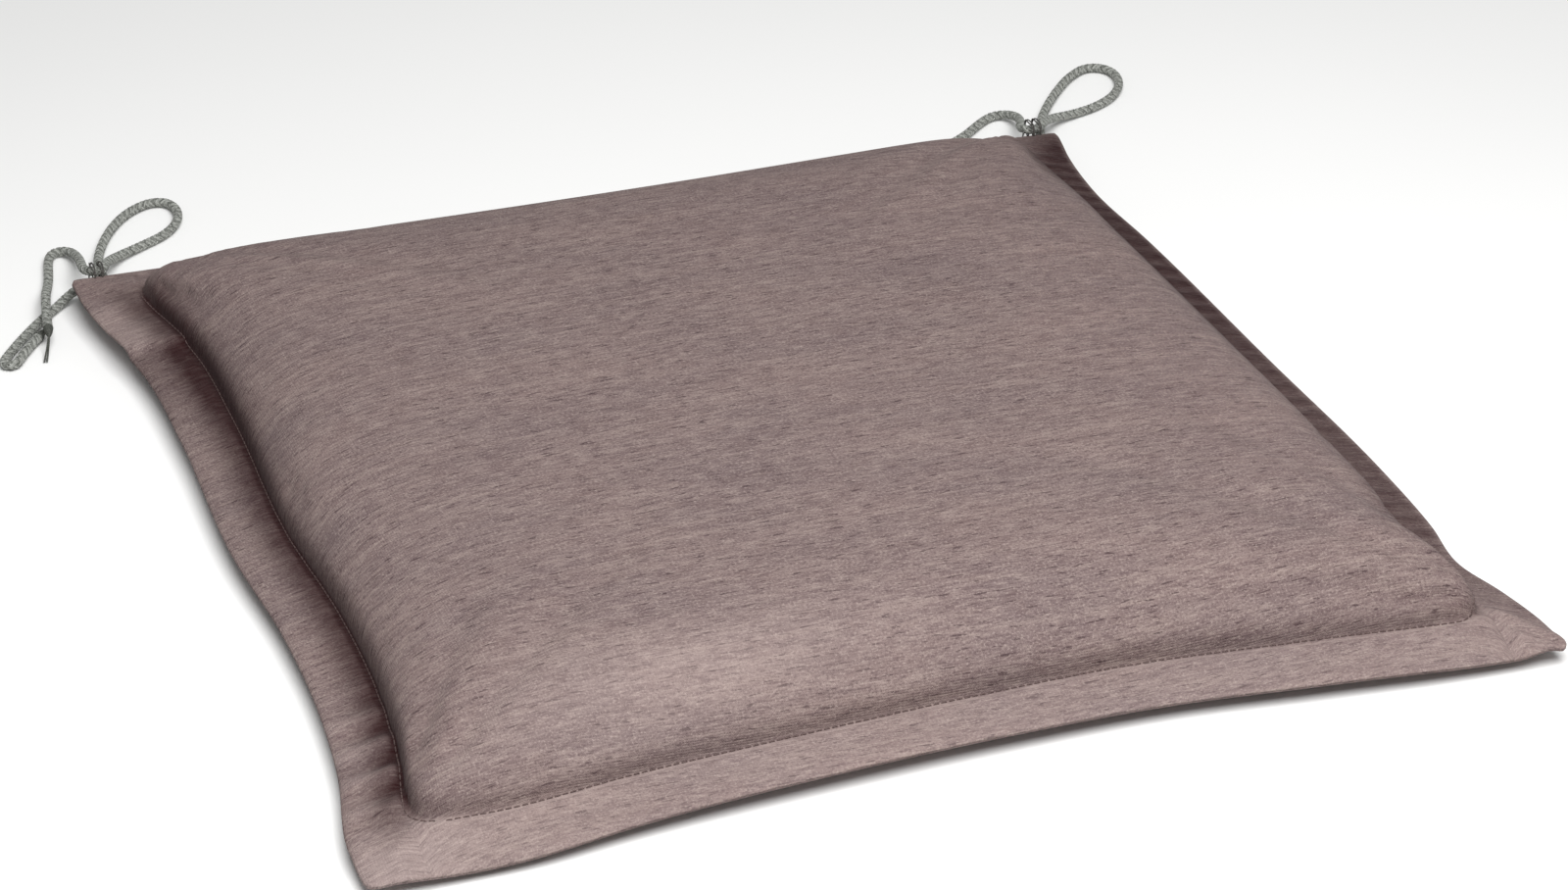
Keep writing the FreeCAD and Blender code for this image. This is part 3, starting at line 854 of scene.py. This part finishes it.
def tube(points, radius, sides, flat=1.0, outward=None, closed=False):
    """Tube along a line, as points and faces: capped, or closed on itself. radius may vary along it."""
    if closed:
        tangent = unit(np.roll(points, -1, 0) - np.roll(points, 1, 0))
        outward = points - points.mean(0)
    else:
        tangent, normal, other = line_frames(points)
    if outward is not None:
        normal = unit(outward - tangent * (outward * tangent).sum(1, keepdims=True))
        other = np.cross(tangent, normal)
    radius = np.broadcast_to(radius, len(points))
    turn = 2 * math.pi * np.arange(sides) / sides
    ring = normal[:, None] * np.cos(turn)[:, None] * flat + other[:, None] * np.sin(turn)[:, None]
    verts = (points[:, None] + ring * radius[:, None, None]).reshape(-1, 3)
    index = np.arange(len(points) * sides).reshape(len(points), sides)
    a, b = (index, np.roll(index, -1, 0)) if closed else (index[:-1], index[1:])
    faces = np.stack([a, np.roll(a, -1, 1), np.roll(b, -1, 1), b], -1).reshape(-1, 4).tolist()
    if not closed:
        faces += [index[0, ::-1].tolist(), index[-1].tolist()]
    return verts, faces


def joined(name, parts):
    """One object from several (points, faces) parts, and the number of points in each."""
    verts, faces, sizes, first = [], [], [], 0
    for part_verts, part_faces in parts:
        verts.append(part_verts)
        faces += [[i + first for i in face] for face in part_faces]
        sizes.append(len(part_verts))
        first += len(part_verts)
    return mesh_object(name, np.concatenate(verts), faces), sizes


def braid(name, route, material):
    """Round braid of eight strands, each of two yarns, laid over and under each other round a core."""
    line, at = evenly(smooth_line(route), 0.0007)
    _, normal, other = line_frames(line)
    parts, tones, along = [], [], []
    for way in (1, -1):
        for strand in range(4):
            for half in (-1, 1):
                turn = way * 2 * math.pi * at / BRAID_PITCH + math.pi / 2 * strand + half * 0.29
                phase = way * 8 * at / BRAID_PITCH + 2 * strand + way - 1.5
                out = BRAID_CENTRE + BRAID_WEAVE * np.cos(math.pi / 2 * phase)
                away = normal * np.cos(turn)[:, None] + other * np.sin(turn)[:, None]
                parts.append(tube(line + away * out[:, None], YARN_RADIUS, 5, 0.85, away))
                tones.append(YARN_TONES[(strand * 2 + (half > 0) + (way < 0) * 3) % 8])
                along.append(at + 0.37 * len(parts))
    parts.append(tube(line[::2], CORE_RADIUS, 8))
    tones.append(0.0)
    along.append(at[::2])
    obj, sizes = joined(name + "_braid", parts)
    point_field(obj, "tone", np.repeat(tones, sizes))
    places = []
    for size, walked in zip(sizes, along):
        sides = size // len(walked)
        round_it = np.tile(np.arange(sides), len(walked)) * 0.0005
        places.append(np.stack([np.repeat(walked, sides), round_it, np.zeros(size)], -1))
    point_field(obj, "along", np.concatenate(places))
    finish_piece(obj, material, "tie_cord", name)
    return obj, line


def whipped_tip(name, line, thread_end, material):
    """Tapered end of a tail bound with thread, and the spare thread where one is left."""
    end = line[-1]
    way = unit(end - line[-3])
    share = np.linspace(0.0, 1.0, 57)
    axis = end + way * share[:, None] * TIP_LONG - way * 0.0006
    wraps = 0.00012 * np.cos(2 * math.pi * 14 * share)
    radius = (CORD / 2 * 0.98) * (1 - share ** 1.5) + TIP_RADIUS * share ** 1.5 + wraps
    parts = [tube(axis, radius, 14)]
    if thread_end is not None:
        start = end + way * (TIP_LONG - 0.001)
        stop = np.array(thread_end)
        t = np.linspace(0.0, 1.0, 30)[:, None]
        sag = np.array((0.0, 0.0, -0.0006)) * np.sin(math.pi * t)
        side = np.cross(way, (0.0, 0.0, 1.0))
        for shift in (-0.00042, 0.00042):
            strand = start * (1 - t) + stop * t + sag + side * shift * (0.4 + t)
            parts.append(tube(strand, 0.0004, 6))
    obj, _ = joined(name + "_whipping", parts)
    return finish_piece(obj, material, "tie_thread", name)


def tack(side, x, material):
    """Thread that sews a tie to the rear edge: a few uneven turns round the cord and the flange."""
    parts = []
    turn = np.linspace(0, 2 * math.pi, 49)[:-1]
    square = (np.abs(np.cos(turn)) ** 4 + np.abs(np.sin(turn)) ** 4) ** -0.25
    for shift, lean in TACK_TURNS:
        loop = np.stack([
            x + shift + lean * np.sin(turn),
            TACK_Y + TACK_HALF_Y * np.cos(turn) * square,
            TACK_Z + TACK_HALF_Z * np.sin(turn) * square], -1)
        parts.append(tube(loop, TACK_RADIUS, 6, closed=True))
    obj, _ = joined(side + "_tie_tack_turns", parts)
    return finish_piece(obj, material, "tie_thread", side + "_tie_tack")


def tie_cords():
    """All four tails with their tips and tacks."""
    yarn = yarn_material()
    whipping = thread_material("whipping_thread", (42, 44, 40), (92, 94, 88))
    tacking = thread_material("tack_thread", (34, 31, 30), (92, 89, 85))
    tacked = {side: tack(side, x, tacking) for side, x in TACK_X.items()}
    for name, (route, length, thread_end) in TAILS.items():
        tail, line = braid(name + "_tail", route, yarn)
        tip = whipped_tip(name + "_tip", line, thread_end, whipping)


# ---- stitches
CORNER_POINTS = 200  # points of a side among which it may cross the next side


def seam_line(inset, corner):
    """Closed line at an inset from the outer edges, as (x, y) places a millimetre or so apart."""
    sides = []
    for knots, along_x, way, order in ((PULL_FRONT, True, -1, 1), (PULL_RIGHT, False, 1, 1),
                                       (PULL_REAR, True, 1, -1), (PULL_LEFT, False, -1, -1)):
        half, length = (HALF_Y, HALF_X) if along_x else (HALF_X, HALF_Y)
        at = np.linspace(-length, length, 520)
        out = way * (half - smooth_curve(knots, at) - inset)
        sides.append(np.stack([at, out] if along_x else [out, at], -1)[::order])
    line = []
    for i, this in enumerate(sides):
        before, after = sides[i - 1], sides[(i + 1) % 4]
        near_start, near_end = (np.linalg.norm(this[:, None] - other[None, :], axis=2).min(1)
                                for other in (before, after))
        first = int(np.argmin(near_start[:CORNER_POINTS]))
        last = len(this) - CORNER_POINTS + int(np.argmin(near_end[-CORNER_POINTS:]))
        line.append(this[first + corner:last - corner])
    smooth = []
    for this, after in zip(line, line[1:] + line[:1]):
        start, stop = this[-1], after[0]
        heading = unit(start - this[-2])
        knee = start + heading * np.dot(stop - start, heading)
        t = np.linspace(0, 1, 16)[1:-1, None]
        smooth += [this, (1 - t) ** 2 * start + 2 * t * (1 - t) * knee + t * t * stop]
    return np.concatenate(smooth + [line[0][:1]])


def stitch_run(line, pitch, surface, way, gap=STITCH_GAP, radius=STITCH_RADIUS, sink=0.3):
    """Thread stitches, as (points, faces) parts, along (x, y) places on top (way 1) or below (-1)."""
    places, at = evenly(line, 0.0004)
    parts = []
    start_z = RAY_HIGH if way > 0 else RAY_LOW
    share = np.linspace(-1, 1, 9)
    for number in range(int(at[-1] / pitch)):
        along = (number + 0.5) * pitch + share * (pitch - gap) / 2
        spots = np.stack([np.interp(along, at, column) for column in places.T], -1)
        hits = [surface.ray_cast(Vector((x, y, start_z)), Vector((0, 0, -way)))[0] for x, y in spots]
        if None in hits:
            continue
        z = np.array([hit.z for hit in hits]) + way * radius * (1 - sink - 1.5 * share ** 4)
        thick = radius * np.sqrt(np.clip(1.04 - share ** 6, 0.04, 1))
        parts.append(tube(np.column_stack([spots, z]), thick, 6))
    return parts


def surface_of(points):
    """Search tree of one grid of surface points."""
    rows, columns = points.shape[:2]
    return BVHTree.FromPolygons(points.reshape(-1, 3).tolist(), grid_faces(rows, columns).tolist())


def seams(above, below, between):
    """Topstitch above and below, the closing stitch and the hidden edge seam, laid on the surfaces."""
    sewing = thread_material("sewing_thread", (68, 51, 50), (108, 90, 87))
    line = seam_line(STITCH_INSET, 14)
    x = np.linspace(-CLOSING_HALF, CLOSING_HALF, 300)
    rear = np.stack([x, HALF_Y - smooth_curve(PULL_REAR, x) - 0.004], -1)
    needle = stitch_run(line, TOP_PITCH, above, 1)
    bobbin = stitch_run(line, TOP_PITCH, below, -1)
    closing = stitch_run(rear, SEAM_PITCH, above, 1) + stitch_run(rear, SEAM_PITCH, below, -1)
    hidden = stitch_run(seam_line(SEAM_INSET, 4), SEAM_PITCH, between, 1, 0.0004, 0.00018, 1.0)
    rows = [("topstitch_needle_stitches", "topstitch_needle", needle),
            ("topstitch_bobbin_stitches", "topstitch_bobbin", bobbin),
            ("closing_stitches", "closing_stitch", closing), ("edge_seam_stitches", "edge_seam", hidden)]
    for piece, node, parts in rows:
        finish_piece(joined(piece, parts)[0], sewing, "cover_thread", node + "_thread")


# ---- pad
def pad():
    """Cover panels from the settled cloth, their seams, and the filling inside them."""
    coarse = [grid_lines(half, COARSE_INSETS, 0.0060) for half in (HALF_X, HALF_Y)]
    fine = [grid_lines(half, FINE_INSETS, 0.0028) for half in (HALF_X, HALF_Y)]
    moved = resampled(settle_cloth(Plan(*coarse), *coarse), coarse, fine)
    plan = Plan(*fine)
    flat = puckers(plan) + folds(plan)
    groove = stitch_groove(plan)
    top = plan.at(plan.top() + flat - groove) + moved
    bottom = plan.at(plan.bottom() + flat * (plan.body < 0) + groove)
    fabric = fabric_material()
    # Painted shade and painted highlight for the cover; the bottom panel takes weaker copies.
    painted_shade = painted_shade_share(plan)
    painted_highlight = painted_highlight_share(plan)
    upper = panel("top_panel_cloth", top, -1, plan, painted_shade, painted_highlight)
    finish_piece(upper, fabric, "cover_fabric", "top_panel")
    lower = panel("bottom_panel_cloth", bottom, 1, plan, 0.6 * painted_shade, 0.5 * painted_highlight)
    finish_piece(lower, fabric, "cover_fabric", "bottom_panel")
    above = surface_of(top)
    seams(above, surface_of(bottom), surface_of(plan.at(plan.middle + flat)))
    filling(above, top, bottom, plan, fine)


# ---- filling
def inner_grid(points, lines_u, lines_v, inset, stride):
    """Part of a panel's grid that lies at least an inset from the outer edge."""
    keep_u = np.flatnonzero(HALF_X * (1 - np.abs(lines_u)) > inset)
    keep_v = np.flatnonzero(HALF_Y * (1 - np.abs(lines_v)) > inset)
    return points[keep_u[0]:keep_u[-1] + 1:stride, keep_v[0]:keep_v[-1] + 1:stride]


def slab(name, high, low):
    """Closed solid between two grids of points, with walls round its outline."""
    rows, columns = high.shape[:2]
    count = rows * columns
    index = np.arange(count).reshape(rows, columns)
    ring = np.concatenate([index[:-1, 0], index[-1, :-1], index[:0:-1, -1], index[0, :0:-1]])
    ahead = np.roll(ring, -1)
    walls = np.stack([ring + count, ahead + count, ahead, ring], -1)
    faces = np.concatenate([grid_faces(rows, columns), grid_faces(rows, columns, count, flip=True), walls])
    return mesh_object(name, np.concatenate([high.reshape(-1, 3), low.reshape(-1, 3)]), faces)


def ragged(x, y, size, seed):
    """Small uneven heights, as of fibre or cut foam."""
    return size * (np.sin(x * 310 + seed) * np.sin(y * 270 + 2 * seed)
                   + 0.6 * np.sin(x * 730 + 3 * seed) * np.sin(y * 810 + seed))


def foam_block(above):
    """Foam core: a cut block with softened edges, kept clear of the cover above it."""
    low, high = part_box("foam_core")
    lines = np.linspace(-1, 1, 91)
    plan = Plan(lines, lines, HALF_X - high.x, FOAM_CORNER)
    round_off = FOAM_EDGE * (1 - np.sqrt(1 - np.clip(1 - plan.rim / FOAM_EDGE, 0, 1) ** 2))
    rough = ragged(plan.x, plan.y, 0.00012, 0.7)
    cover = np.array([above.ray_cast(Vector((x, y, RAY_HIGH)), Vector((0, 0, -1)))[0].z
                      for x, y in zip(plan.x.ravel(), plan.y.ravel())]).reshape(plan.x.shape)
    upper = np.minimum(high.z - round_off + rough, cover - FOAM_COVER)
    foam = slab("foam_core_block", plan.at(upper), plan.at(low.z + round_off + rough))
    finish_piece(foam, foam_material(), "foam", "foam_core")


def wadding_layer(node, panel_points, plan, foam_face, way, lines, material):
    """Wadding between a panel (way 1 above, -1 below) and the foam, or the parting plane beside it."""
    cover, split, body = (inner_grid(grid, *lines, FILLING_INSET, 2)
                          for grid in (panel_points, plan.middle, plan.body))
    flat = body < FLAT_FILLING
    fluff = ragged(cover[..., 0], cover[..., 1], 0.00020, 1.9)
    outer = cover - way * normals_of(cover) * (WADDING_SINK + fluff)[..., None]
    foam_inset = HALF_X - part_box("foam_core")[1].x
    from_x = HALF_X - 0.012 - np.abs(outer[..., 0])
    from_y = HALF_Y - 0.012 - np.abs(outer[..., 1])
    over_foam = step(foam_inset - 0.022, foam_inset - 0.014, np.minimum(from_x, from_y))
    inner = split + way * WADDING_GAP + over_foam * (foam_face - split)
    outer[flat, :2] = cover[flat, :2]
    outer[flat, 2] = split[flat] + way * 0.00012
    inner[flat] = split[flat]
    nearer = np.minimum if way > 0 else np.maximum
    inner = np.dstack([outer[..., :2], nearer(inner, outer[..., 2] - way * 0.0001)])
    faces = (outer, inner) if way > 0 else (inner, outer)
    finish_piece(slab(node + "_layer", *faces), material, "wadding", node)


def filling(above, top, bottom, plan, lines):
    """Foam core between two layers of wadding, inside the cover."""
    foam_block(above)
    low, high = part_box("foam_core")
    wadding = wadding_material()
    wadding_layer("upper_wadding", top, plan, high.z + WADDING_GAP, 1, lines, wadding)
    wadding_layer("lower_wadding", bottom, plan, low.z - WADDING_GAP, -1, lines, wadding)


# ---- main
camera()
studio()
tie_cords()
pad()
